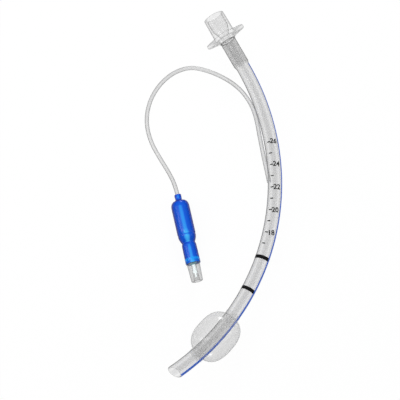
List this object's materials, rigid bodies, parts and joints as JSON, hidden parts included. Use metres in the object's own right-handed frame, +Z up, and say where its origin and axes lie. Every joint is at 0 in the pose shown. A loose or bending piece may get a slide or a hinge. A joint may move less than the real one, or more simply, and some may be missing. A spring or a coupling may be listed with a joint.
{
  "type": "endotracheal tube",
  "caption": "Cuffed airway tube with a curved clear shaft, bevelled tip, inflated cuff, 15 mm cone connector and a pilot balloon with a sprung check valve on a thin line.",
  "frame": {"origin": "on the table under the middle of the tube, connector and cuff, without the inflation line and what is on it", "axes": "+Y from the tip towards the connector, +X towards the outside of the bend, +Z up from the table"},
  "size_m": [0.0966, 0.2652, 0.0286],
  "materials": {
    "clear_soft_tube": "clear plasticised PVC, slightly milky, glossy",
    "blue_stripe": "blue radiopaque compound in the tube's wall",
    "clear_hard_plastic": "clear moulded polypropylene or polycarbonate, glossy",
    "cuff_film": "thin clear PVC film, inflated taut",
    "line_tube": "clear PVC line, glossy",
    "blue_film": "translucent saturated blue PVC film, glossy",
    "white_plastic": "white moulded plastic",
    "teal_rubber": "teal silicone rubber",
    "spring_steel": "bright spring wire"
  },
  "bodies": {
    "airway": {"tube": "clear_soft_tube", "radiopaque_line": "blue_stripe", "connector": "clear_hard_plastic", "cuff": "cuff_film", "inflation_line": "line_tube", "pilot_balloon": "blue_film", "valve_body": "clear_hard_plastic", "valve_spring": "spring_steel"},
    "plunger": {"valve_plunger": "white_plastic", "valve_seal": "teal_rubber"}
  },
  "joints": [
    {"name": "plunger_slide", "type": "slide", "parent": "airway", "child": "plunger", "axis": [-0.2181, 0.9759, 0], "range_m": [0, 0.0015], "stiffness_N_per_m": 150, "springref_m": -0.001, "deforming": ["valve_spring"]}
  ]
}
